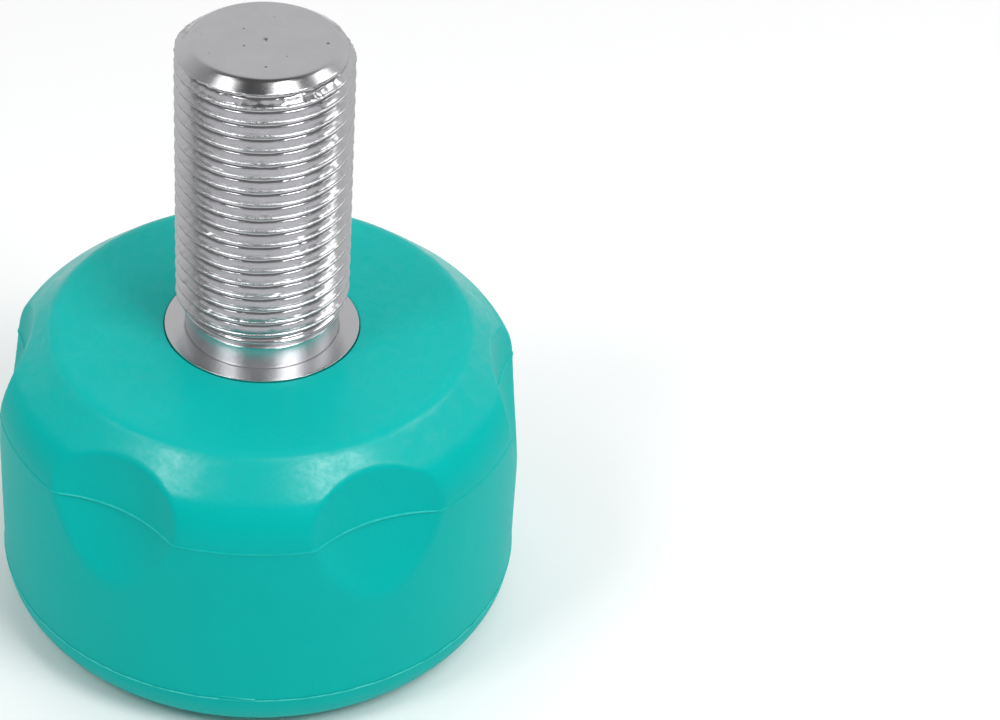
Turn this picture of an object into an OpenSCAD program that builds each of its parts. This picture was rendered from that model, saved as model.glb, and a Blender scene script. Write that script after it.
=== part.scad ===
// Roller skate toe stop: a rubber stop moulded round a steel stem and its anchor flange.
// The origin is the centre of the sole, +Z runs up the stem, and lengths are millimetres.

/* [Rubber stop] */
// Diameter of the straight wall
stop_d = 49; // [46:0.5:60]
// Height from the sole to the flat top face
stop_h = 29.6; // [27:0.2:36]
// Radius of the rounded edge of the sole
sole_edge_r = 5; // [2:0.5:7]
// Diameter of the flat top face, before its edge is softened
top_face_d = 38.4; // [34:0.4:42]
// Slope of the shoulder bevel, measured from the axis in degrees
shoulder_angle = 51; // [40:1:58]
// Radius that blends the shoulder bevel into the wall
shoulder_blend_r = 5.9; // [2:0.1:7]
// Radius that softens the edge between the bevel and the top face
top_edge_r = 2.4; // [0.5:0.1:4]

/* [Grips] */
// Number of scooped grips round the shoulder
grip_count = 6; // [3:1:8]
// Depth of a grip inside the wall, at the level where it is deepest
grip_depth = 3.3; // [1.5:0.1:4]
// Radius of a grip across its width, where it is deepest
grip_r = 15.5; // [10:0.5:20]
// Radius of a grip along its height
grip_sweep_r = 37.5; // [25:0.5:60]
// Height of the level where a grip is deepest
grip_level = 30.7; // [28:0.1:34]

/* [Threaded stem] */
// Major diameter of the thread, 5/8 inch
thread_d = 15.875; // [12:0.005:17]
// Diameter of the neck below the thread, equal to the thread's root
neck_d = 14.14; // [11:0.02:15]
// Height of the stem's end above the top face
stem_reach = 30.4; // [24:0.2:50]
// Width of the chamfer on the stem's end, measured along the radius
end_chamfer_w = 1.55; // [0.5:0.05:2.5]
// Height of that chamfer
end_chamfer_h = 0.95; // [0.3:0.05:2]
// Height of the lowest full thread above the top face
thread_start = 3.6; // [2.5:0.1:8]
// Diameter of the spigot that passes through the flange
spigot_d = 11; // [8:0.5:12]
// Distance across the two flats of the spigot
spigot_flats = 9.4; // [7:0.2:10]
// Diameter of the riveted end under the flange
rivet_d = 15; // [13:0.2:15.8]
// Thickness of the riveted end
rivet_t = 1.8; // [1:0.1:3]

/* [Anchor flange] */
// Diameter of the hub, whose level face shows in the mouth of the rubber
hub_d = 17.9; // [17:0.1:22]
// Height of the hub's face above the top face of the rubber
hub_rise = 0.1; // [0.05:0.05:0.6]
// Depth of the flange disc's upper face below the top face
disc_depth = 5.6; // [4:0.1:8]
// Diameter of the flange disc
disc_d = 34; // [31:0.5:37]
// Thickness of the flange disc
disc_t = 3; // [2:0.1:4]
// Number of holes that the rubber flows through
key_hole_count = 6; // [3:1:10]
// Diameter of those holes
key_hole_d = 4; // [2:0.2:4.5]

/* [Fits] */
// Thickness of the bond line between rubber and steel
bond_gap = 0.05; // [0.02:0.01:0.15]
// Clearance between the stem and the bore of the flange, on the radius
bore_clearance = 0.04; // [0.02:0.01:0.1]

/* [Hidden] */
$fn = 96;

stop_r = stop_d / 2;
thread_r = thread_d / 2;
neck_r = neck_d / 2;
hub_r = hub_d / 2;
disc_r = disc_d / 2;

// Heights of the steel, all hung from the top face
stem_end_z = stop_h + stem_reach;
thread_start_z = stop_h + thread_start;
hub_top_z = stop_h + hub_rise;
disc_top_z = stop_h - disc_depth;
disc_bottom_z = disc_top_z - disc_t;
rivet_bottom_z = disc_bottom_z - rivet_t;
key_hole_circle_r = (hub_r + disc_r) / 2;

// Places on the outline of the rubber: the bevel would meet the wall at shoulder_z, and a reach is the
// distance from such a corner to the ends of its round
top_face_r = top_face_d / 2;
shoulder_z = stop_h - (stop_r - top_face_r) / tan(shoulder_angle);
blend_reach = shoulder_blend_r * tan(shoulder_angle / 2);
top_edge_reach = top_edge_r * tan((90 - shoulder_angle) / 2);

// Distance from the axis of the stop to the axis of a grip's cutter
grip_axis_r = stop_r - grip_depth + grip_r;

// How far a cutter runs past the faces that it cuts
over = 1;

// Colours of the rubber and of the plated steel
module rubber_colour() { color([0.05, 0.69, 0.64]) children(); }
module plated_colour() { color([0.74, 0.75, 0.77]) children(); }
module plain_steel_colour() { color([0.56, 0.57, 0.60]) children(); }

// Half of the stop's outline, from the axis outwards: each corner is cut between the two points where
// its round touches the sides, and a circle there fills the round
module stop_outline() {
    polygon([
        [0, 0],
        [stop_r - sole_edge_r, 0],
        [stop_r, sole_edge_r],
        [stop_r, shoulder_z - blend_reach],
        [stop_r - blend_reach * sin(shoulder_angle), shoulder_z + blend_reach * cos(shoulder_angle)],
        [top_face_r + top_edge_reach * sin(shoulder_angle), stop_h - top_edge_reach * cos(shoulder_angle)],
        [top_face_r - top_edge_reach, stop_h],
        [0, stop_h],
    ]);
    translate([stop_r - sole_edge_r, sole_edge_r]) circle(sole_edge_r);
    translate([stop_r - shoulder_blend_r, shoulder_z - blend_reach]) circle(shoulder_blend_r);
    translate([top_face_r - top_edge_reach, stop_h - top_edge_r]) circle(top_edge_r);
}

// A barrel-shaped cutter, widest at its middle: one grip is where it bites the shoulder
module grip_cutter() {
    rotate_extrude() intersection() {
        translate([grip_r - grip_sweep_r, 0]) circle(grip_sweep_r);
        translate([0, -grip_sweep_r]) square(2 * grip_sweep_r);
    }
}

module grips() {
    for (i = [0 : grip_count - 1])
        rotate((i + 0.5) * 360 / grip_count - 90)
            translate([grip_axis_r, 0, grip_level]) grip_cutter();
}

// Columns of rubber or air through the flange disc
module key_holes(r, z, h) {
    for (i = [0 : key_hole_count - 1])
        rotate(i * 360 / key_hole_count)
            translate([key_hole_circle_r, 0, z]) cylinder(h = h, r = r);
}

// The space that the flange and the riveted end take up in the rubber, grown by a gap: the hub's part of
// it breaks out through the top face and makes the mouth
module insert_space(gap) {
    translate([0, 0, disc_top_z]) cylinder(h = disc_depth + over, r = hub_r + gap);
    difference() {
        translate([0, 0, disc_bottom_z - gap]) cylinder(h = disc_t + 2 * gap, r = disc_r + gap);
        key_holes(key_hole_d / 2 - gap, disc_bottom_z - over, disc_t + 2 * over);
    }
    translate([0, 0, rivet_bottom_z - gap]) cylinder(h = rivet_t + gap, r = rivet_d / 2 + gap);
}

// The moulded rubber: a turned outline, scooped grips and the space for the insert
module rubber_stop() {
    rubber_colour() difference() {
        rotate_extrude() stop_outline();
        grips();
        insert_space(bond_gap);
    }
}

// The steel stud: end chamfer, thread at its major diameter, neck, spigot with two flats, riveted end.
// The spigot runs on into the neck and into the riveted end, so that the stud is one solid
module threaded_stem() {
    plated_colour() {
        rotate_extrude() polygon([
            [0, disc_top_z],
            [neck_r, disc_top_z],
            [neck_r, thread_start_z - (thread_r - neck_r)],
            [thread_r, thread_start_z],
            [thread_r, stem_end_z - end_chamfer_h],
            [thread_r - end_chamfer_w, stem_end_z],
            [0, stem_end_z],
        ]);
        spigot(0, disc_bottom_z - rivet_t / 2, disc_t + rivet_t / 2 + over);
        translate([0, 0, rivet_bottom_z]) cylinder(h = rivet_t, r = rivet_d / 2);
    }
}

// The stem's round spigot with its two flats, or the hole that fits it
module spigot(gap, z, h) {
    intersection() {
        translate([0, 0, z]) cylinder(h = h, r = spigot_d / 2 + gap);
        translate([-spigot_d, -spigot_flats / 2 - gap, z]) cube([2 * spigot_d, spigot_flats + 2 * gap, h]);
    }
}

// The flange: a hub with a level face and a bore for the neck, and a disc with holes for the rubber
module anchor_flange() {
    plain_steel_colour() difference() {
        union() {
            translate([0, 0, disc_bottom_z]) cylinder(h = hub_top_z - disc_bottom_z, r = hub_r);
            translate([0, 0, disc_bottom_z]) cylinder(h = disc_t, r = disc_r);
        }
        translate([0, 0, disc_top_z]) cylinder(h = stem_reach, r = neck_r + bore_clearance);
        spigot(bore_clearance, disc_bottom_z - over, disc_t + 2 * over);
        key_holes(key_hole_d / 2, disc_bottom_z - over, disc_t + 2 * over);
    }
}

rubber_stop();
threaded_stem();
anchor_flange();
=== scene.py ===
# %% [markdown]
# # A roller skate toe stop
# A toe stop is the rubber brake under the toe of a roller skate. Its rubber is moulded round a steel
# stud, and the stud screws into the skate's plate. The solids come from CAD, and this lesson gives them
# their looks: the satin of the rubber, the fine thread, and the bright plating of the steel.
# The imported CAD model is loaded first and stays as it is. Each piece made here takes a solid's place.

# %% Load the frame
import math

import bmesh
import bpy
from mathutils import Matrix, Vector


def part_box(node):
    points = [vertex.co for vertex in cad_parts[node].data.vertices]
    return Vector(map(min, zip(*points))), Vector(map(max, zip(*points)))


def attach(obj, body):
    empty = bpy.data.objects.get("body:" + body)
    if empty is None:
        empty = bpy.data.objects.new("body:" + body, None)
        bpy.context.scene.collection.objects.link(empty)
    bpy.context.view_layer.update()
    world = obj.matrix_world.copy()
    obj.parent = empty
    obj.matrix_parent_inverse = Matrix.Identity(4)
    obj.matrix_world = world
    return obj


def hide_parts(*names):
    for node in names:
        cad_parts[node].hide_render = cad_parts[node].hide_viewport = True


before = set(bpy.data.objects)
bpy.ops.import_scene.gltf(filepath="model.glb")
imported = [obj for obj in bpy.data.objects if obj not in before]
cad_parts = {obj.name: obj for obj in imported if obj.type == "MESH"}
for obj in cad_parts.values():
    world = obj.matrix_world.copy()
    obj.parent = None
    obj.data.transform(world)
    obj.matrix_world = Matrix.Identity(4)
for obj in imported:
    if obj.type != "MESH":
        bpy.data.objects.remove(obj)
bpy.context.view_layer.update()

# %% [markdown]
# ## The camera
# A product picture is taken with a long lens from above. The place and the angles were fitted to the
# picture with the stem's known thread as the ruler. A camera could be aimed with a Track To constraint,
# but then its roll could not be set, so its three axes are worked out here and put into its matrix.

# %% Camera
camera_reach = 0.22736
camera_height = 0.19953
camera_bearing = math.radians(3.5)
camera_turn = math.radians(5.58)
camera_pitch = math.radians(37.291)
camera_roll = math.radians(4.055)

camera_data = bpy.data.cameras.new("product_camera")
camera_data.sensor_width = 36.0
camera_data.lens = 110.54
camera_data.clip_start = 0.01
camera = bpy.data.objects.new("product_camera", camera_data)
bpy.context.scene.collection.objects.link(camera)

heading = math.pi / 2 + camera_bearing - camera_turn
forward = Vector((
    math.cos(heading) * math.cos(camera_pitch),
    math.sin(heading) * math.cos(camera_pitch),
    -math.sin(camera_pitch),
))
level_right = Vector((math.sin(heading), -math.cos(heading), 0.0))
level_up = level_right.cross(forward)
right = level_right * math.cos(camera_roll) + level_up * math.sin(camera_roll)
up = level_up * math.cos(camera_roll) - level_right * math.sin(camera_roll)
axes = Matrix((right, up, -forward)).transposed()
camera.matrix_world = axes.to_4x4()
camera.location = (
    camera_reach * math.sin(camera_bearing),
    -camera_reach * math.cos(camera_bearing),
    camera_height,
)
bpy.context.scene.camera = camera
print("camera at", [round(value, 4) for value in camera.location], "lens", camera_data.lens)

# %% [markdown]
# ## Sizes
# The outer sizes are read from the boxes of the CAD solids, so the looks follow the solids if they
# change. The inner ones repeat the CAD model's own driving sizes, in metres.

# %% Sizes
mm = 0.001
rubber_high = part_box("rubber_stop")[1]
stem_low, stem_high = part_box("threaded_stem")
flange_low, flange_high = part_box("anchor_flange")

stop_r = rubber_high.x
stop_h = rubber_high.z
sole_edge_r = 5.0 * mm
top_face_r = 19.2 * mm
shoulder_angle = math.radians(51)
shoulder_blend_r = 5.9 * mm
top_edge_r = 2.4 * mm
bond_gap = 0.05 * mm

thread_r = stem_high.x
stem_end = stem_high.z
neck_r = 7.07 * mm
hub_r = 8.95 * mm
hub_top = flange_high.z
mouth_r = hub_r + bond_gap
disc_r = flange_high.x
disc_bottom = flange_low.z
disc_top = disc_bottom + 3.0 * mm
rivet_bottom = stem_low.z
rivet_r = 7.5 * mm
print("rubber", round(stop_r / mm, 2), "mm in radius and", round(stop_h / mm, 2), "mm high")

# %% [markdown]
# ## Tools for node trees
# Geometry Nodes and shader groups are both node trees, so the same few helpers serve them. One makes a
# tree with named sockets, one adds a Math node and wires it, and one turns a finished modifier into a
# plain mesh. Wiring each node by hand would say the same in three times the lines.

# %% Helpers for node trees
def new_tree(name, kind, inputs, outputs):
    tree = bpy.data.node_groups.new(name, kind)
    for label, socket_type in inputs:
        tree.interface.new_socket(name=label, in_out="INPUT", socket_type=socket_type)
    for label, socket_type in outputs:
        tree.interface.new_socket(name=label, in_out="OUTPUT", socket_type=socket_type)
    return tree, tree.nodes.new("NodeGroupInput"), tree.nodes.new("NodeGroupOutput")


def wire(tree, value, socket):
    if isinstance(value, bpy.types.NodeSocket):
        tree.links.new(value, socket)
    else:
        socket.default_value = value


def add_node(tree, kind, settings=None, **inputs):
    node = tree.nodes.new(kind)
    for setting, value in (settings or {}).items():
        setattr(node, setting, value)
    for label, value in inputs.items():
        wire(tree, value, node.inputs[label.replace("_", " ")])
    return node


def calculator(tree):
    def calc(operation, *values):
        node = tree.nodes.new("ShaderNodeMath")
        node.operation = operation
        for value, socket in zip(values, node.inputs):
            wire(tree, value, socket)
        return node.outputs[0]
    return calc


def remap(tree, value, low, high, to_low, to_high, curve="LINEAR"):
    node = tree.nodes.new("ShaderNodeMapRange")
    node.interpolation_type = curve
    for entry, socket in zip((value, low, high, to_low, to_high), node.inputs):
        wire(tree, entry, socket)
    return node.outputs[0]


# %% Helpers for pieces
def new_piece(name, mesh):
    piece = bpy.data.objects.new(name, mesh)
    bpy.context.scene.collection.objects.link(piece)
    return piece


def add_tree(piece, tree, **values):
    modifier = piece.modifiers.new(tree.name, "NODES")
    modifier.node_group = tree
    for item in tree.interface.items_tree:
        key = item.name.lower().replace(" ", "_")
        if item.in_out == "INPUT" and key in values:
            modifier[item.identifier] = values[key]


def settle(piece):
    depsgraph = bpy.context.evaluated_depsgraph_get()
    mesh = bpy.data.meshes.new_from_object(piece.evaluated_get(depsgraph))
    piece.modifiers.clear()
    old_mesh = piece.data
    piece.data = mesh
    bpy.data.meshes.remove(old_mesh)
    mesh.name = piece.name


def clean(piece, distance=1e-6):
    shape = bmesh.new()
    shape.from_mesh(piece.data)
    bmesh.ops.remove_doubles(shape, verts=shape.verts, dist=distance)
    bmesh.ops.dissolve_degenerate(shape, edges=shape.edges, dist=distance / 10)
    bmesh.ops.recalc_face_normals(shape, faces=shape.faces)
    for face in shape.faces:
        face.smooth = True
    open_edges = sum(1 for edge in shape.edges if not edge.is_manifold)
    shape.to_mesh(piece.data)
    shape.free()
    print(piece.name, len(piece.data.polygons), "faces,", open_edges, "open edges")


def dress(piece, material):
    piece.data.materials.clear()
    piece.data.materials.append(material)
    for polygon in piece.data.polygons:
        polygon.material_index = 0


# %% [markdown]
# ## Small marks that all the finishes share
# No real surface is one flat colour. Moulded rubber and plated steel both have a faint cloudiness, and
# both carry scattered specks: dust on the rubber, pits in the plating. A picture could be painted for
# each, but a node group does it for any material, at a scale in millimetres, with its own amounts.

# %% Cloudiness group
def make_cloudiness():
    inputs = [("Vector", "NodeSocketVector"), ("Size", "NodeSocketFloat"), ("Amount", "NodeSocketFloat")]
    outputs = [("Factor", "NodeSocketFloat"), ("Height", "NodeSocketFloat")]
    tree, source, result = new_tree("Cloudiness", "ShaderNodeTree", inputs, outputs)
    calc = calculator(tree)
    scale = calc("DIVIDE", 1.0, source.outputs["Size"])
    noise = add_node(tree, "ShaderNodeTexNoise", Vector=source.outputs["Vector"], Scale=scale, Detail=5.0)
    noise.inputs["Roughness"].default_value = 0.62
    height = noise.outputs["Fac"]
    doubled = calc("MULTIPLY", source.outputs["Amount"], 2.0)
    swing = calc("MULTIPLY", calc("SUBTRACT", height, 0.5), doubled)
    tree.links.new(calc("ADD", swing, 1.0), result.inputs["Factor"])
    tree.links.new(height, result.inputs["Height"])
    return tree


cloudiness = make_cloudiness()
print("shader group", cloudiness.name)

# %% Specks group
def make_specks(name, dimensions):
    inputs = [
        ("Vector", "NodeSocketVector"),
        ("Spacing", "NodeSocketFloat"),
        ("Share", "NodeSocketFloat"),
        ("Radius", "NodeSocketFloat"),
    ]
    tree, source, result = new_tree(name, "ShaderNodeTree", inputs, [("Mask", "NodeSocketFloat")])
    calc = calculator(tree)
    scale = calc("DIVIDE", 1.0, source.outputs["Spacing"])
    settings = {"voronoi_dimensions": dimensions}
    cells = add_node(tree, "ShaderNodeTexVoronoi", settings, Vector=source.outputs["Vector"], Scale=scale)
    draw = add_node(tree, "ShaderNodeSeparateColor", Color=cells.outputs["Color"])
    chosen = calc("LESS_THAN", draw.outputs["Red"], source.outputs["Share"])
    own_radius = calc("MULTIPLY", source.outputs["Radius"], calc("ADD", draw.outputs["Green"], 0.3))
    reach = calc("DIVIDE", own_radius, source.outputs["Spacing"])
    core = calc("MULTIPLY", reach, 0.4)
    dot = remap(tree, cells.outputs["Distance"], core, reach, 1.0, 0.0, "SMOOTHSTEP")
    tree.links.new(calc("MULTIPLY", dot, chosen), result.inputs["Mask"])
    return tree


specks = make_specks("Specks", "3D")
level_specks = make_specks("Specks on a level face", "2D")
print("shader groups", specks.name, "and", level_specks.name)

# %% Places round the axis group
def make_axis_places():
    inputs = [("Vector", "NodeSocketVector")]
    outputs = [("Radius", "NodeSocketFloat"), ("Level", "NodeSocketFloat")]
    tree, source, result = new_tree("Places round the axis", "ShaderNodeTree", inputs, outputs)
    calc = calculator(tree)
    parts = add_node(tree, "ShaderNodeSeparateXYZ", Vector=source.outputs["Vector"]).outputs
    across = calc("MULTIPLY", parts["X"], parts["X"])
    along = calc("MULTIPLY", parts["Y"], parts["Y"])
    tree.links.new(calc("SQRT", calc("ADD", across, along)), result.inputs["Radius"])
    tree.links.new(parts["Z"], result.inputs["Level"])
    return tree


axis_places = make_axis_places()
print("shader group", axis_places.name)

# %% [markdown]
# ## The rubber's finish
# The rubber is a clear teal with a satin skin. The upper half of its mould was polished, so the top and
# the shoulder shine a little, while the wall and the scoops are matt. One even roughness would make the
# walls milky, so a coat is laid over a matt Principled shader, and its weight follows the shape: it is
# full where a point lies on the cone of the shoulder and half of that on the top face. A little
# cloudiness shifts the colour and the gloss, and a few pale specks are the dust that rubber always
# gathers. Where the parts of the mould met, a thin flash was left and trimmed by hand. It is painted
# paler than the rest, partly as its own colour and partly as a painted highlight where the thin fin
# catches the light, and it wanders a little. Along the lower line runs a dark line of painted shadow.

# %% Helpers for materials
def new_material(name):
    material = bpy.data.materials.new(name)
    material.use_nodes = True
    tree = material.node_tree
    tree.nodes.clear()
    output = tree.nodes.new("ShaderNodeOutputMaterial")
    shader = tree.nodes.new("ShaderNodeBsdfPrincipled")
    tree.links.new(shader.outputs["BSDF"], output.inputs["Surface"])
    place = tree.nodes.new("ShaderNodeTexCoord").outputs["Object"]
    return material, tree, shader, place


def use_group(tree, group, **inputs):
    return add_node(tree, "ShaderNodeGroup", {"node_tree": group}, **inputs)


def mix_colour(tree, factor, first, second):
    node = add_node(tree, "ShaderNodeMix", {"data_type": "RGBA"})
    wire(tree, factor, node.inputs[0])
    wire(tree, first, node.inputs[6])
    wire(tree, second, node.inputs[7])
    return node.outputs[2]


def bump(tree, height, distance, strength, below=None):
    node = add_node(tree, "ShaderNodeBump", Height=height, Distance=distance, Strength=strength)
    if below is not None:
        tree.links.new(below, node.inputs["Normal"])
    return node.outputs["Normal"]


# %% Levels of the parting lines
shoulder_z = stop_h - (stop_r - top_face_r) / math.tan(shoulder_angle)
blend_reach = shoulder_blend_r * math.tan(shoulder_angle / 2)
upper_parting = shoulder_z - blend_reach
lower_parting = sole_edge_r
print("parting lines", round(lower_parting / mm, 2), "and", round(upper_parting / mm, 2), "mm up")

# %% Slip of the trimming knife
slip_start = -2.1 * mm
slip_end = 1.25 * mm


def knife_slip(tree, place):
    calc = calculator(tree)
    spot = add_node(tree, "ShaderNodeSeparateXYZ", Vector=place).outputs
    at_front = calc("LESS_THAN", spot["Y"], 0.0)
    before_end = calc("MULTIPLY", calc("LESS_THAN", spot["X"], slip_end), at_front)
    in_slip = calc("MULTIPLY", calc("GREATER_THAN", spot["X"], slip_start), before_end)
    lift = remap(tree, spot["X"], slip_start, slip_end, 0.36 * mm, 0.15 * mm)
    shown = calc("MULTIPLY", remap(tree, spot["X"], slip_start, slip_end, 0.1, 1.0), in_slip)
    return in_slip, calc("ADD", lift, lower_parting), shown


print("slip of", round((slip_end - slip_start) / mm, 2), "mm")

# %% Colour of the flash, with its painted highlight and painted shadow
flash_w = 0.12 * mm
flash_wander = 0.25 * mm
# Pale colour of the trimmed flash, also painted on as the highlight of its thin fin
pale_flash_and_painted_highlight = (0.09, 0.66, 0.60, 1.0)
# Colour of the painted shadow along the lower parting line
painted_step_shadow = (0.0, 0.26, 0.235, 1.0)
painted_shadow_rise = 0.14 * mm


def flash_and_painted_light_colour(tree, place, axis, patches, body):
    calc = calculator(tree)
    wander = calc("MULTIPLY", calc("SUBTRACT", patches.outputs["Height"], 0.5), flash_wander)
    height = calc("SUBTRACT", axis["Level"], wander)

    # A dark line of painted shadow runs just above the lower parting line
    above = calc("SUBTRACT", height, lower_parting)
    beside = calc("ABSOLUTE", calc("SUBTRACT", above, painted_shadow_rise))
    shade = remap(tree, beside, 0.04 * mm, 0.10 * mm, 0.5, 0.0)
    colour = mix_colour(tree, shade, body, painted_step_shadow)

    # At the front the knife slipped: over a few millimetres a straight cut runs above the lower line,
    # which is faint there. The pale lines are partly the flash's own colour and partly a painted highlight
    # where the thin fin catches the light, so the upper line is painted strongest in the scoops
    in_slip, slip_level, slip_shown = knife_slip(tree, place)
    low_shown = remap(tree, in_slip, 0.0, 1.0, 0.85, 0.2)
    scoop_r = stop_r - 0.6 * mm
    flat_r = stop_r - 0.2 * mm
    high_shown = remap(tree, axis["Radius"], scoop_r, flat_r, 0.4, 0.14, "SMOOTHSTEP")
    lines = [(lower_parting, low_shown), (slip_level, slip_shown), (upper_parting, high_shown)]
    for level, shown in lines:
        away = calc("ABSOLUTE", calc("SUBTRACT", height, level))
        line = remap(tree, away, 0.02 * mm, 0.8 * flash_w, shown, 0.0, "SMOOTHSTEP")
        colour = mix_colour(tree, line, colour, pale_flash_and_painted_highlight)
    return colour


# %% Rubber material
teal = (0.0, 0.475, 0.437, 1.0)
deep_teal = (0.0, 0.435, 0.398, 1.0)
dust = (0.30, 0.62, 0.58, 1.0)
dust_strength = 0.35
matt_roughness = 0.45
coat_weight = 0.55
top_share = 0.5


def polish_weight(tree, axis, patches, grain):
    calc = calculator(tree)
    drop = calc("SUBTRACT", stop_h, axis["Level"])
    cone_r = calc("ADD", calc("MULTIPLY", drop, math.tan(shoulder_angle)), top_face_r)
    sunk = calc("SUBTRACT", cone_r, axis["Radius"])
    on_cone = remap(tree, sunk, 0.04 * mm, 0.22 * mm, 1.0, 0.0, "SMOOTHSTEP")
    on_top = remap(tree, drop, 0.05 * mm, 0.6 * mm, top_share, 0.0, "SMOOTHSTEP")
    polished = calc("MULTIPLY", calc("MAXIMUM", on_cone, on_top), coat_weight)
    worn = calc("MULTIPLY", patches.outputs["Factor"], grain.outputs["Factor"])
    return calc("MULTIPLY", polished, worn)


def make_rubber():
    material, tree, shader, place = new_material("teal_moulded_rubber")
    clouds = use_group(tree, cloudiness, Vector=place, Size=6.0 * mm, Amount=0.10)
    patches = use_group(tree, cloudiness, Vector=place, Size=1.4 * mm, Amount=1.2)
    grain = use_group(tree, cloudiness, Vector=place, Size=0.45 * mm, Amount=1.1)
    motes = use_group(tree, specks, Vector=place, Spacing=2.6 * mm, Share=0.10, Radius=0.09 * mm)
    axis = use_group(tree, axis_places, Vector=place).outputs
    calc = calculator(tree)
    body = mix_colour(tree, clouds.outputs["Height"], deep_teal, teal)
    dusty = mix_colour(tree, calc("MULTIPLY", motes.outputs["Mask"], dust_strength), body, dust)
    colour = flash_and_painted_light_colour(tree, place, axis, patches, dusty)
    tree.links.new(colour, shader.inputs["Base Color"])
    roughness = calc("MULTIPLY", clouds.outputs["Factor"], matt_roughness)
    tree.links.new(roughness, shader.inputs["Roughness"])
    tree.links.new(polish_weight(tree, axis, patches, grain), shader.inputs["Coat Weight"])
    shader.inputs["Specular IOR Level"].default_value = 0.06
    shader.inputs["Coat Roughness"].default_value = 0.26
    shader.inputs["Coat IOR"].default_value = 1.5
    skin = bump(tree, clouds.outputs["Height"], 0.10 * mm, 0.5)
    skin = bump(tree, grain.outputs["Height"], 0.05 * mm, 0.6, skin)
    tree.links.new(skin, shader.inputs["Normal"])
    return material


rubber = make_rubber()
print("material", rubber.name)

# %% [markdown]
# ## The plating
# The steel has a bright zinc plating. It is a metal, so its colour is the colour of its reflections, and
# most of its life is in how rough it is from place to place. Fine rings left by the lathe follow the
# axis: they come from a noise that reads only the distance from the axis and the height, in a group that
# the stem and the flange share. Small dark pits break the flat end of the stem, the crests of the thread
# are scuffed, shade is painted grey into its grooves and along the lower edges of its crests, and below
# the thread the plating is duller.

# %% Turning marks group
def make_turning_marks():
    inputs = [("Vector", "NodeSocketVector"), ("Spacing", "NodeSocketFloat")]
    outputs = [("Height", "NodeSocketFloat")]
    tree, source, result = new_tree("Turning marks", "ShaderNodeTree", inputs, outputs)
    calc = calculator(tree)
    axis = use_group(tree, axis_places, Vector=source.outputs["Vector"]).outputs
    rings = add_node(tree, "ShaderNodeCombineXYZ", X=axis["Radius"], Y=axis["Level"])
    scale = calc("DIVIDE", 1.0, source.outputs["Spacing"])
    noise = add_node(tree, "ShaderNodeTexNoise", Vector=rings.outputs[0], Scale=scale, Detail=3.0)
    tree.links.new(noise.outputs["Fac"], result.inputs["Height"])
    return tree


turning_marks = make_turning_marks()
print("shader group", turning_marks.name)

# %% Painted shade and scuffs on the thread
pitch = 25.4 * mm / 18
thread_root_r = 7.10 * mm
neck_top = 32.0 * mm


# Where the thread is painted darker as shade: in its grooves and under its crests, above the neck and
# short of the end
def painted_groove_shade(tree, axis, painted_shade_strength):
    calc = calculator(tree)
    groove_r = thread_root_r + 0.25 * mm
    painted_shade_start_z = neck_top + 0.4 * pitch
    in_groove = remap(tree, axis["Radius"], thread_root_r, groove_r, 1.0, 0.0, "SMOOTHSTEP")
    in_thread = remap(tree, axis["Level"], neck_top, painted_shade_start_z, 0.0, painted_shade_strength, "SMOOTHSTEP")
    below_end = calc("LESS_THAN", axis["Level"], stem_end - 1.0 * mm)
    under = add_node(tree, "ShaderNodeAttribute", {"attribute_name": "underside"}).outputs["Fac"]
    return calc("MULTIPLY", calc("MAXIMUM", in_groove, under), calc("MULTIPLY", in_thread, below_end))


def crest_mask(tree, axis, scuff):
    scuffed_r = thread_r - 0.25 * mm
    crest_r = thread_r - 0.05 * mm
    return remap(tree, axis["Radius"], scuffed_r, crest_r, 0.0, scuff, "SMOOTHSTEP")


print("thread pitch", round(pitch / mm, 3), "mm")

# %% Zinc materials
zinc = (0.68, 0.68, 0.695, 1.0)
dull_zinc = (0.57, 0.57, 0.585, 1.0)
# Grey of the pits, also painted into the thread's grooves and under its crests as shade
pit_and_painted_shade_grey = (0.10, 0.10, 0.11, 1.0)
pit_strength = 0.8
crest_roughness = 0.02


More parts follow.
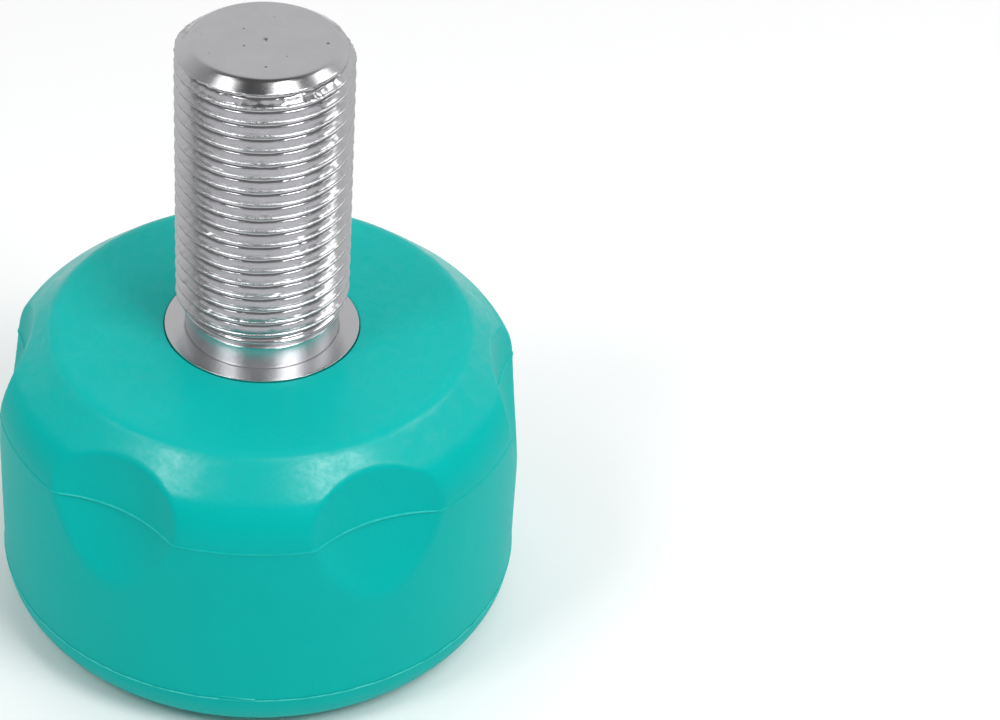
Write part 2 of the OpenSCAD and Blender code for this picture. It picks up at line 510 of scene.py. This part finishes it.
def make_zinc(name, face_level, gloss, ring_marks, grain, pit_share, painted_shade_strength, scuff, dullness):
    material, tree, shader, place = new_material(name)
    clouds = use_group(tree, cloudiness, Vector=place, Size=2.2 * mm, Amount=0.45)
    fine = use_group(tree, cloudiness, Vector=place, Size=0.25 * mm, Amount=grain)
    dots = use_group(tree, level_specks, Vector=place, Spacing=3.4 * mm, Share=pit_share, Radius=0.16 * mm)
    marks = use_group(tree, turning_marks, Vector=place, Spacing=0.16 * mm)
    axis = use_group(tree, axis_places, Vector=place).outputs
    calc = calculator(tree)
    on_face = calc("GREATER_THAN", axis["Level"], face_level - 0.02 * mm)
    pits = calc("MULTIPLY", dots.outputs["Mask"], on_face)
    plate = mix_colour(tree, clouds.outputs["Height"], dull_zinc, zinc)
    # Painted shade: the grooves and the crests' lower edges are mixed towards grey
    plate = mix_colour(tree, painted_groove_shade(tree, axis, painted_shade_strength), plate, pit_and_painted_shade_grey)
    plate = mix_colour(tree, calc("MULTIPLY", pits, pit_strength), plate, pit_and_painted_shade_grey)
    tree.links.new(plate, shader.inputs["Base Color"])
    shader.inputs["Metallic"].default_value = 1.0

    # The crests are a little rougher, and the plating below the thread is duller
    crest = crest_mask(tree, axis, scuff)
    neck = remap(tree, axis["Level"], neck_top - 0.4 * mm, neck_top, dullness, 0.0, "SMOOTHSTEP")
    roughness = calc("MULTIPLY", clouds.outputs["Factor"], gloss)
    roughness = calc("MULTIPLY", roughness, fine.outputs["Factor"])
    roughness = calc("ADD", roughness, calc("MULTIPLY", crest, crest_roughness))
    tree.links.new(calc("ADD", roughness, neck), shader.inputs["Roughness"])

    # Rings of the lathe, fine grain, scuffs and pits
    skin = bump(tree, marks.outputs["Height"], 0.02 * mm, ring_marks)
    skin = bump(tree, fine.outputs["Height"], 0.01 * mm, grain, skin)
    skin = bump(tree, calc("MULTIPLY", fine.outputs["Height"], crest), 0.06 * mm, 0.6, skin)
    skin = bump(tree, calc("SUBTRACT", 1.0, pits), 0.03 * mm, 0.5, skin)
    tree.links.new(skin, shader.inputs["Normal"])
    return material


stem_zinc = make_zinc(
    "bright_zinc_stem", stem_end, gloss=0.17, ring_marks=0.12, grain=0.12,
    pit_share=0.65, painted_shade_strength=0.32, scuff=1.0, dullness=0.17,
)
flange_zinc = make_zinc(
    "bright_zinc_flange", hub_top, gloss=0.18, ring_marks=0.20, grain=0.02,
    pit_share=0.10, painted_shade_strength=0.0, scuff=0.0, dullness=0.06,
)
print("materials", stem_zinc.name, flange_zinc.name)

# %% [markdown]
# ## The rubber body
# The mould for the rubber is turned on a lathe, so the body starts as an outline spun round the axis. A
# Screw modifier could spin a curve, but rings that are placed by the code can sit close together where
# something fine happens: at the mouth and at the two lines where the parts of the mould meet.

# %% Helpers for outlines
def arc(centre_r, centre_z, radius, start, end, steps):
    points = []
    for i in range(steps + 1):
        angle = math.radians(start + (end - start) * i / steps)
        points.append((centre_r + radius * math.cos(angle), centre_z + radius * math.sin(angle)))
    return points


def straight(start, end, steps):
    return [
        (start[0] + (end[0] - start[0]) * i / steps, start[1] + (end[1] - start[1]) * i / steps)
        for i in range(1, steps)
    ]


# %% Outline of the rubber
flash_h = 0.16 * mm
flat_flash = 0.55
wall_r = stop_r - flash_h * flat_flash
mouth_edge_r = 0.18 * mm


def outer_outline():
    slope = 90 - math.degrees(shoulder_angle)
    top_reach = top_edge_r * math.tan(math.radians(slope) / 2)
    near = [flash_w * share for share in (0.25, 0.5, 0.75, 1.0, 1.3)]
    sole_edge = arc(wall_r - sole_edge_r, sole_edge_r, sole_edge_r, -90, -2, 18)
    wall_steps = 44
    wall = [(wall_r, lower_parting + (upper_parting - lower_parting) * i / wall_steps)
            for i in range(1, wall_steps)]
    partings = [(wall_r, level + side * gap) for level in (lower_parting, upper_parting)
                for side in (-1, 1) for gap in near]
    partings += [(wall_r, lower_parting), (wall_r, upper_parting)]
    wall = sorted(wall + partings, key=lambda point: point[1])
    blend = arc(wall_r - shoulder_blend_r, upper_parting, shoulder_blend_r, 3.5, 90 - slope, 18)
    top_edge = arc(top_face_r - top_reach, stop_h - top_edge_r, top_edge_r, 90 - slope, 90, 8)
    mouth = arc(mouth_r + mouth_edge_r, stop_h - mouth_edge_r, mouth_edge_r, 90, 180, 5)
    outline = [(0.0, 0.0)] + straight((0.0, 0.0), sole_edge[0], 8) + sole_edge + wall + blend
    outline += straight(blend[-1], top_edge[0], 8) + top_edge
    outline += straight(top_edge[-1], mouth[0], 14) + mouth
    return outline


def inner_outline():
    return [
        (mouth_r, disc_top + bond_gap),
        (disc_r + bond_gap, disc_top + bond_gap),
        (disc_r + bond_gap, disc_bottom - bond_gap),
        (rivet_r + bond_gap, disc_bottom - bond_gap),
        (rivet_r + bond_gap, rivet_bottom - bond_gap),
        (0.0, rivet_bottom - bond_gap),
    ]


rubber_outline = outer_outline() + inner_outline()
print("outline of", len(rubber_outline), "points")

# %% Spin the outline
def turned_mesh(name, outline, segments, closed=False):
    shape = bmesh.new()
    rings = []
    for radius, height in outline:
        if radius < 1e-9:
            rings.append([shape.verts.new((0.0, 0.0, height))] * segments)
            continue
        ring = []
        for i in range(segments):
            angle = 2 * math.pi * i / segments
            ring.append(shape.verts.new((radius * math.cos(angle), radius * math.sin(angle), height)))
        rings.append(ring)
    pairs = list(zip(rings, rings[1:]))
    if closed:
        pairs.append((rings[-1], rings[0]))
    for low, high in pairs:
        for i in range(segments):
            j = (i + 1) % segments
            corners = list(dict.fromkeys((low[i], low[j], high[j], high[i])))
            shape.faces.new(corners)
    mesh = bpy.data.meshes.new(name)
    shape.to_mesh(mesh)
    shape.free()
    return mesh


rubber_body = new_piece("rubber_body", turned_mesh("rubber_body", rubber_outline, 540))
print("spun", len(rubber_body.data.vertices), "points")

# %% [markdown]
# ## The scooped grips
# Six scoops run over the shoulder, so that fingers can turn the stop. In the mould each is a piece of a
# barrel, wider at its top. They could be cut with Boolean barrels, but that would leave ragged edges and
# no soft run-out. The rule is simple enough for Geometry Nodes: at every point, the distance to the
# barrel's near side is worked out from the bearing and the height, and a smooth minimum keeps whichever
# of the wall and the barrel is nearer to the axis. The mould's parting lines are added last, so that they
# follow the scoops in and out as they do on the real rubber.

# %% Side of the barrel
def barrel_side(tree, given, place):
    calc = calculator(tree)

    # Bearing from the middle of the nearest grip, with a flat facing -Y
    bearing = calc("ARCTAN2", place["X"], calc("MULTIPLY", place["Y"], -1.0))
    share = calc("DIVIDE", calc("MULTIPLY", bearing, given["Grips"]), 2 * math.pi)
    offset = calc("SUBTRACT", calc("FRACT", share), 0.5)
    from_grip = calc("DIVIDE", calc("MULTIPLY", offset, 2 * math.pi), given["Grips"])

    # Half width of the barrel at this height, and the near side of the barrel along this bearing
    rise = calc("SUBTRACT", place["Z"], given["Deepest level"])
    sweep_square = calc("MULTIPLY", given["Sweep radius"], given["Sweep radius"])
    reach = calc("SQRT", calc("SUBTRACT", sweep_square, calc("MULTIPLY", rise, rise)))
    half_width = calc("ADD", calc("SUBTRACT", given["Grip radius"], given["Sweep radius"]), reach)
    axis = calc("ADD", calc("SUBTRACT", given["Wall radius"], given["Depth"]), given["Grip radius"])
    aside = calc("MULTIPLY", axis, calc("SINE", from_grip))
    left = calc("SUBTRACT", calc("MULTIPLY", half_width, half_width), calc("MULTIPLY", aside, aside))
    half_chord = calc("SQRT", calc("MAXIMUM", left, 0.0))
    return calc("SUBTRACT", calc("MULTIPLY", axis, calc("COSINE", from_grip)), half_chord)


# %% Helper that ends a geometry tree
def finish_tree(tree, result, geometry, material):
    real = add_node(tree, "GeometryNodeRealizeInstances", Geometry=geometry)
    dressed = add_node(tree, "GeometryNodeSetMaterial", Geometry=real.outputs[0], Material=material)
    tree.links.new(dressed.outputs[0], result.inputs[0])


# %% Grips tree
def make_grips():
    lengths = [
        "Wall radius", "Depth", "Grip radius", "Sweep radius", "Deepest level", "Soft level",
        "Low softness", "High softness", "Lower parting", "Upper parting", "Flash height", "Flat flash",
        "Flash width",
    ]
    inputs = [("Geometry", "NodeSocketGeometry"), ("Grips", "NodeSocketInt")]
    inputs += [(label, "NodeSocketFloat") for label in lengths]
    inputs.append(("Material", "NodeSocketMaterial"))
    outputs = [("Geometry", "NodeSocketGeometry")]
    tree, source, result = new_tree("Scooped grips", "GeometryNodeTree", inputs, outputs)
    given = source.outputs
    calc = calculator(tree)
    position = tree.nodes.new("GeometryNodeInputPosition").outputs[0]
    place = add_node(tree, "ShaderNodeSeparateXYZ", Vector=position).outputs
    across = calc("MULTIPLY", place["X"], place["X"])
    along = calc("MULTIPLY", place["Y"], place["Y"])
    radius = calc("SQRT", calc("ADD", across, along))

    # The scoop fades softly into the wall below and has a crisper edge above
    softness = remap(tree, place["Z"], given["Soft level"], given["Upper parting"],
                     given["Low softness"], given["High softness"], "SMOOTHSTEP")
    scooped = calc("SMOOTH_MIN", radius, barrel_side(tree, given, place), softness)

    # A thin ridge where the parts of the mould meet, higher in the scoops than on the flats
    sunk = calc("SUBTRACT", radius, scooped)
    share = remap(tree, sunk, 0.0, given["High softness"], given["Flat flash"], 1.0, "SMOOTHSTEP")
    flash = calc("MULTIPLY", given["Flash height"], share)
    for label in ("Lower parting", "Upper parting"):
        away = calc("ABSOLUTE", calc("SUBTRACT", place["Z"], given[label]))
        near = calc("MAXIMUM", calc("SUBTRACT", 1.0, calc("DIVIDE", away, given["Flash width"])), 0.0)
        scooped = calc("ADD", scooped, calc("MULTIPLY", near, flash))

    scale = calc("DIVIDE", scooped, radius)
    moved_x = calc("MULTIPLY", place["X"], scale)
    moved_y = calc("MULTIPLY", place["Y"], scale)
    moved = add_node(tree, "ShaderNodeCombineXYZ", X=moved_x, Y=moved_y, Z=place["Z"]).outputs[0]
    shaped = add_node(tree, "GeometryNodeSetPosition", Geometry=given["Geometry"], Position=moved)
    finish_tree(tree, result, shaped.outputs[0], given["Material"])
    return tree


grips_tree = make_grips()
print("geometry tree", grips_tree.name)

# %% Scoop the rubber
add_tree(
    rubber_body,
    grips_tree,
    grips=6,
    wall_radius=stop_r,
    depth=3.3 * mm,
    grip_radius=15.5 * mm,
    sweep_radius=37.5 * mm,
    deepest_level=30.7 * mm,
    soft_level=13.0 * mm,
    low_softness=0.5 * mm,
    high_softness=0.45 * mm,
    lower_parting=lower_parting,
    upper_parting=upper_parting,
    flash_height=flash_h,
    flat_flash=flat_flash,
    flash_width=flash_w,
    material=rubber,
)
settle(rubber_body)
clean(rubber_body)

# %% [markdown]
# ## The threaded stem
# The stem has a fine right-hand thread of eighteen turns to the inch. A coil of a small profile could be
# joined to a rod, but then the two would only overlap. Here a flat grid is rolled up in Geometry Nodes
# instead. Its rows climb by one pitch in each turn, so the crests and roots run exactly along the rows
# and stay crisp, and the end of each row meets another row's start. Three rules give the radius: the
# thread, its run-out above the neck, and the chamfer at the end, and the smallest of them wins.

# %% Rows of the thread
def climbing_rows(tree, given, place):
    calc = calculator(tree)

    # The rows climb by one pitch round the axis, from below the bottom to above the end
    turn = calc("ADD", place["X"], 0.5)
    lead = calc("MULTIPLY", given["Pitch"], 1.25)
    start = calc("SUBTRACT", calc("SUBTRACT", given["Bottom"], given["Cap"]), lead)
    even_row = calc("ADD", start, calc("MULTIPLY", calc("ADD", place["Y"], 0.5), given["Span"]))

    # They are drawn together at the crests, which need the finest steps
    even_phase = calc("ADD", calc("DIVIDE", even_row, given["Pitch"]), given["Thread shift"])
    draw = calc("MULTIPLY", given["Crowding"], calc("SINE", calc("MULTIPLY", even_phase, 2 * math.pi)))
    row = calc("ADD", even_row, calc("MULTIPLY", draw, calc("DIVIDE", given["Pitch"], 2 * math.pi)))
    climb = calc("ADD", row, calc("MULTIPLY", turn, given["Pitch"]))
    return calc("MULTIPLY", turn, 2 * math.pi), row, climb


# %% Profile of the thread
def thread_profile(tree, given, row):
    calc = calculator(tree)
    phase = calc("FRACT", calc("ADD", calc("DIVIDE", row, given["Pitch"]), given["Thread shift"]))
    above_crest = calc("SUBTRACT", phase, 0.5)
    from_crest = calc("ABSOLUTE", above_crest)
    down_flank = calc("MULTIPLY", calc("SUBTRACT", from_crest, given["Crest share"]), given["Pitch"])
    flank = calc("SUBTRACT", given["Crest radius"], calc("MULTIPLY", down_flank, given["Flank slope"]))
    crested = calc("SMOOTH_MIN", flank, given["Crest radius"], given["Crest rounding"])
    thread = calc("SMOOTH_MAX", crested, given["Root radius"], given["Root rounding"])

    # A mask of each crest's face and lower edge, which get painted shade
    below_crest = calc("DIVIDE", calc("MULTIPLY", above_crest, -1.0), given["Crest share"])
    past_edge = remap(tree, below_crest, -1.3, -0.2, 0.0, 1.0)
    before_flank = remap(tree, below_crest, 2.0, 3.0, 1.0, 0.0)
    return thread, calc("MULTIPLY", past_edge, before_flank)


# %% Nicks along the thread
first_turn_end = 1.0
first_turn_start = 1.9
first_turn_knocks = 2.4


def nick_depth(tree, given, angle, height):
    calc = calculator(tree)
    rolled_x = calc("MULTIPLY", given["Crest radius"], calc("COSINE", angle))
    rolled_y = calc("MULTIPLY", given["Crest radius"], calc("SINE", angle))
    spot = add_node(tree, "ShaderNodeCombineXYZ", X=rolled_x, Y=rolled_y, Z=height).outputs[0]
    scale = calc("DIVIDE", 1.0, given["Nick size"])
    noise = add_node(tree, "ShaderNodeTexNoise", Vector=spot, Scale=scale, Detail=2.0).outputs["Fac"]

    # The first turn below the chamfer took the most knocks, and less of it was spared
    turns = calc("DIVIDE", calc("SUBTRACT", given["End"], height), given["Pitch"])
    knocks = remap(tree, turns, first_turn_end, first_turn_start, first_turn_knocks, 1.0, "SMOOTHSTEP")
    spared = remap(tree, turns, first_turn_end, first_turn_start, 0.40, 0.5, "SMOOTHSTEP")
    nick = remap(tree, noise, spared, 0.8, 0.0, given["Nick depth"], "SMOOTHSTEP")
    return calc("MULTIPLY", nick, knocks)


# %% Run-out, chamfer and ends of the stem
def chamfer_end(tree, given):
    calc = calculator(tree)
    end_r = calc("SUBTRACT", given["Crest radius"], given["Chamfer width"])
    return end_r, calc("DIVIDE", given["Chamfer height"], given["Chamfer width"])


def stem_radius(tree, given, thread, climb, height):
    calc = calculator(tree)
    above_neck = calc("MAXIMUM", calc("SUBTRACT", height, given["Neck top"]), 0.0)
    run_out = calc("ADD", given["Neck radius"], calc("MULTIPLY", above_neck, given["Run out slope"]))
    end_r, fall = chamfer_end(tree, given)
    chamfer = calc("ADD", end_r, calc("DIVIDE", calc("SUBTRACT", given["End"], height), fall))
    radius = calc("MINIMUM", calc("MINIMUM", thread, run_out), chamfer)

    # Past the end and past the bottom the rows close up to the axis, just before the grid's last row
    past_end = calc("DIVIDE", calc("SUBTRACT", climb, given["End"]), given["Cap"])
    past_bottom = calc("DIVIDE", calc("SUBTRACT", given["Bottom"], climb), given["Cap"])
    past = remap(tree, calc("MAXIMUM", past_end, past_bottom), 0.0, 0.99, 0.0, 1.0)
    return calc("MULTIPLY", radius, calc("SUBTRACT", 1.0, past))


def stem_level(tree, given, radius, climb, height):
    calc = calculator(tree)

    # The edge between the chamfer and the flat end is softened
    end_r, fall = chamfer_end(tree, given)
    down_chamfer = calc("MULTIPLY", calc("SUBTRACT", radius, end_r), fall)
    chamfer_level = calc("SUBTRACT", given["End"], down_chamfer)
    eased = calc("SMOOTH_MIN", given["End"], chamfer_level, given["End rounding"])
    level = calc("MINIMUM", height, eased)

    # Facing the end on a lathe leaves a small mark on the axis
    mark_r = given["Centre mark radius"]
    mark = remap(tree, radius, 0.0, mark_r, given["Centre mark depth"], 0.0, "SMOOTHSTEP")
    at_end = calc("GREATER_THAN", climb, given["End"])
    return calc("SUBTRACT", level, calc("MULTIPLY", mark, at_end))


# %% Thread tree
def make_thread():
    lengths = [
        "Pitch", "Crest radius", "Root radius", "Crest share", "Flank slope", "Crest rounding",
        "Root rounding", "Crowding", "Nick size", "Nick depth", "Thread shift", "Bottom", "Neck radius",
        "Neck top", "Run out slope", "End", "Chamfer width", "Chamfer height", "End rounding",
        "Centre mark radius", "Centre mark depth", "Cap", "Span",
    ]
    inputs = [("Geometry", "NodeSocketGeometry"), ("Segments", "NodeSocketInt"), ("Rows", "NodeSocketInt")]
    inputs += [(label, "NodeSocketFloat") for label in lengths]
    inputs.append(("Material", "NodeSocketMaterial"))
    outputs = [("Geometry", "NodeSocketGeometry")]
    tree, source, result = new_tree("Rolled thread", "GeometryNodeTree", inputs, outputs)
    given = source.outputs
    calc = calculator(tree)
    grid = add_node(tree, "GeometryNodeMeshGrid", Size_X=1.0, Size_Y=1.0)
    tree.links.new(calc("ADD", given["Segments"], 1), grid.inputs["Vertices X"])
    tree.links.new(calc("ADD", given["Rows"], 1), grid.inputs["Vertices Y"])
    position = tree.nodes.new("GeometryNodeInputPosition").outputs[0]
    place = add_node(tree, "ShaderNodeSeparateXYZ", Vector=position).outputs
    angle, row, climb = climbing_rows(tree, given, place)
    height = calc("MINIMUM", calc("MAXIMUM", climb, given["Bottom"]), given["End"])

    thread, under = thread_profile(tree, given, row)
    thread = calc("SUBTRACT", thread, nick_depth(tree, given, angle, height))
    radius = stem_radius(tree, given, thread, climb, height)
    level = stem_level(tree, given, radius, climb, height)
    moved_x = calc("MULTIPLY", radius, calc("COSINE", angle))
    moved_y = calc("MULTIPLY", radius, calc("SINE", angle))
    moved = add_node(tree, "ShaderNodeCombineXYZ", X=moved_x, Y=moved_y, Z=level).outputs[0]

    # The mask of painted shade is stored before the grid is rolled up, because it reads the flat grid
    marked = add_node(tree, "GeometryNodeStoreNamedAttribute", {"data_type": "FLOAT", "domain": "POINT"},
                      Geometry=grid.outputs["Mesh"], Name="underside", Value=under)
    rolled = add_node(tree, "GeometryNodeSetPosition", Geometry=marked.outputs[0], Position=moved)
    sewn = add_node(tree, "GeometryNodeMergeByDistance", Geometry=rolled.outputs[0], Distance=1e-6)
    finish_tree(tree, result, sewn.outputs[0], given["Material"])
    return tree


thread_tree = make_thread()
print("geometry tree", thread_tree.name)

# %% Roll the stem
rows_per_turn = 16
cap = 2 * pitch
stem_rows = math.ceil((stem_end - disc_top + 2 * cap + 1.5 * pitch) / pitch * rows_per_turn)

stem = new_piece("stem", bpy.data.meshes.new("stem"))
add_tree(
    stem,
    thread_tree,
    segments=180,
    rows=stem_rows,
    pitch=pitch,
    crest_radius=thread_r,
    root_radius=thread_root_r,
    crest_share=0.04,
    flank_slope=1.75,
    crest_rounding=0.15 * mm,
    root_rounding=0.10 * mm,
    crowding=0.65,
    nick_size=0.4 * mm,
    nick_depth=0.09 * mm,
    thread_shift=0.19,
    bottom=disc_top,
    neck_radius=neck_r,
    neck_top=neck_top,
    run_out_slope=0.55,
    end=stem_end,
    chamfer_width=1.55 * mm,
    chamfer_height=0.95 * mm,
    end_rounding=0.12 * mm,
    centre_mark_radius=0.45 * mm,
    centre_mark_depth=0.12 * mm,
    cap=cap,
    span=stem_rows * pitch / rows_per_turn,
    material=stem_zinc,
)
settle(stem)

# %% [markdown]
# ## The tail of the stem
# Inside the rubber the stem goes on as a spigot with two flats, which stop it turning in the flange, and
# ends in a riveted head. Nobody sees them on the finished stop, so plain turned shapes are enough: a ring
# of points is pulled in to the flats wherever it would pass them.

# %% Spigot and riveted head
spigot_r = 5.5 * mm
spigot_flat = 4.7 * mm
rivet_edge_r = 0.6 * mm


def cut_flats(mesh, inside_r, flat):
    for vertex in mesh.vertices:
        if math.hypot(vertex.co.x, vertex.co.y) < inside_r:
            vertex.co.y = max(-flat, min(flat, vertex.co.y))


def join_mesh(piece, mesh):
    shape = bmesh.new()
    shape.from_mesh(piece.data)
    shape.from_mesh(mesh)
    shape.to_mesh(piece.data)
    shape.free()
    bpy.data.meshes.remove(mesh)


rivet_edge = arc(rivet_r - rivet_edge_r, rivet_bottom + rivet_edge_r, rivet_edge_r, -90, 0, 5)
tail_outline = [(0.0, rivet_bottom)] + rivet_edge
tail_top = disc_top + 0.3 * mm
tail_outline += [(rivet_r, disc_bottom), (spigot_r, disc_bottom), (spigot_r, tail_top), (0.0, tail_top)]
tail_mesh = turned_mesh("tail", tail_outline, 96)
cut_flats(tail_mesh, spigot_r + 0.1 * mm, spigot_flat)
join_mesh(stem, tail_mesh)
dress(stem, stem_zinc)
clean(stem)

# %% [markdown]
# ## The anchor flange
# The flange is a steel washer with a hub, riveted to the stem, that the rubber grips from both sides. Only
# the hub's level face shows, as a bright ring in the mouth of the rubber. It is a closed outline spun
# round the axis, with a slotted hole for the spigot, and a Boolean cuts the six holes that the rubber
# flows through.

# %% Flange outline
bore_clearance = 0.018 * mm
bore_edge_r = 0.03 * mm
hub_edge_r = 0.05 * mm
disc_edge = 0.3 * mm
bore_r = neck_r + bore_clearance

flange_outline = [(bore_r, disc_top)]
flange_outline += arc(bore_r + bore_edge_r, hub_top - bore_edge_r, bore_edge_r, 180, 90, 4)
flange_outline += straight(flange_outline[-1], (hub_r - hub_edge_r, hub_top), 8)
flange_outline += arc(hub_r - hub_edge_r, hub_top - hub_edge_r, hub_edge_r, 90, 0, 5)
flange_outline += [
    (hub_r, disc_top),
    (disc_r - disc_edge, disc_top),
    (disc_r, disc_top - disc_edge),
    (disc_r, disc_bottom + disc_edge),
    (disc_r - disc_edge, disc_bottom),
    (spigot_r + bore_clearance, disc_bottom),
    (spigot_r + bore_clearance, disc_top),
]
flange_mesh = turned_mesh("flange", flange_outline, 192, closed=True)
cut_flats(flange_mesh, spigot_r + 0.1 * mm, spigot_flat + bore_clearance)
flange = new_piece("flange", flange_mesh)
flange_mesh.materials.append(flange_zinc)
clean(flange)

# %% Holes in the flange
key_hole_count = 6
key_hole_r = 2.0 * mm
key_hole_circle_r = (hub_r + disc_r) / 2


def key_hole_cutter():
    shape = bmesh.new()
    for i in range(key_hole_count):
        angle = 2 * math.pi * i / key_hole_count
        middle = Vector((math.cos(angle), math.sin(angle), 0.0)) * key_hole_circle_r
        middle.z = (disc_bottom + disc_top) / 2
        bmesh.ops.create_cone(shape, cap_ends=True, segments=48, radius1=key_hole_r, radius2=key_hole_r,
                              depth=2 * (disc_top - disc_bottom), matrix=Matrix.Translation(middle))
    mesh = bpy.data.meshes.new("key_holes")
    shape.to_mesh(mesh)
    shape.free()
    return new_piece("key_holes", mesh)


cutter = key_hole_cutter()
holes = flange.modifiers.new("key holes", "BOOLEAN")
holes.operation = "DIFFERENCE"
holes.object = cutter
settle(flange)
bpy.data.objects.remove(cutter)
flange.data.shade_smooth()
flange.data.set_sharp_from_angle(angle=math.radians(35))
print("flange", len(flange.data.polygons), "faces")

# %% [markdown]
# ## Floor and light
# The picture is a product shot on white, so the floor is a pale sheet and the light comes from large soft
# boxes. The world is white walls under a dim ceiling, and fills the shadows. Metal shows what stands round
# it, so the boxes are placed for the plating too: two on each side of the camera, one far round to the
# right, and one at the back that only lightens the shadow of the stem.

# %% Floor
def make_floor():
    material, tree, shader, place = new_material("pale_studio_floor")
    paper = use_group(tree, cloudiness, Vector=place, Size=0.05, Amount=0.01)
    tone = mix_colour(tree, paper.outputs["Height"], (0.94, 0.94, 0.94, 1.0), (0.96, 0.96, 0.96, 1.0))
    tree.links.new(tone, shader.inputs["Base Color"])
    shader.inputs["Roughness"].default_value = 0.9
    shape = bmesh.new()
    bmesh.ops.create_grid(shape, x_segments=4, y_segments=4, size=1.5)
    mesh = bpy.data.meshes.new("studio_floor")
    shape.to_mesh(mesh)
    shape.free()
    mesh.materials.append(material)
    return new_piece("studio_floor", mesh)


floor = make_floor()
print("floor at height", 0.0)

# %% World
def make_world(front_level, back_level, overhead_level):
    world = bpy.data.worlds.new("white_studio")
    bpy.context.scene.world = world
    world.use_nodes = True
    tree = world.node_tree
    tree.nodes.clear()
    place = tree.nodes.new("ShaderNodeTexCoord").outputs["Generated"]
    way = add_node(tree, "ShaderNodeSeparateXYZ", Vector=place).outputs
    side_level = remap(tree, way["Y"], 0.1, 0.72, front_level, back_level, "SMOOTHSTEP")
    level = remap(tree, way["Z"], 0.70, 0.97, side_level, overhead_level, "SMOOTHSTEP")
    sky = add_node(tree, "ShaderNodeBackground", Color=(1.0, 1.0, 1.0, 1.0), Strength=level)
    output = tree.nodes.new("ShaderNodeOutputWorld")
    tree.links.new(sky.outputs[0], output.inputs["Surface"])


front_level = 0.24
back_level = 0.68
overhead_level = 0.08
make_world(front_level, back_level, overhead_level)
print("world levels", front_level, back_level, overhead_level)

# %% Lamps
box_distance = 0.6
box_aim = Vector((0.0, 0.0, 0.025))


def soft_box(name, bearing, elevation, size, power):
    data = bpy.data.lights.new(name, "AREA")
    data.shape = "SQUARE"
    data.size = size
    data.energy = power
    lamp = bpy.data.objects.new(name, data)
    bpy.context.scene.collection.objects.link(lamp)
    around = math.radians(bearing)
    lift = math.radians(elevation)
    level_reach = math.cos(lift)
    out = Vector((math.sin(around) * level_reach, -math.cos(around) * level_reach, math.sin(lift)))
    lamp.location = box_aim + out * box_distance
    lamp.rotation_euler = out.to_track_quat("Z", "Y").to_euler()
    return lamp


# Bearings run anticlockwise from the front and elevations up from the floor, in degrees. Then come the
# size in metres and the power in watts
lamps = [
    soft_box("left_key", -48, 50, size=0.16, power=0.78),
    soft_box("right_key", 48, 50, size=0.22, power=1.55),
    soft_box("left_box", -78, 60, size=0.24, power=0.38),
    soft_box("right_box", 58, 71, size=0.23, power=0.56),
    soft_box("far_right_box", 108, 47, size=0.22, power=0.38),
    soft_box("back_fill", 185, 68, size=0.34, power=0.45),
]

# The box at the back only fills the shadow of the stem and stays out of the reflections
lamps[-1].visible_glossy = False
print(len(lamps), "soft boxes")
bpy.context.scene.view_settings.view_transform = "Standard"

# %% [markdown]
# ## Hand the pieces over
# Nothing on a toe stop moves against anything else, so every piece rides on the one body. Each takes the
# place of its CAD solid, which is hidden. The finish named beside each piece is not used here.

# %% Tie the pieces to the frame
places = [
    (rubber_body, "rubber_stop", "teal_rubber"),
    (stem, "threaded_stem", "zinc_plated_steel"),
    (flange, "anchor_flange", "zinc_plated_flange"),
]
for piece, node, finish in places:
    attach(piece, "root")
    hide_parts(node)
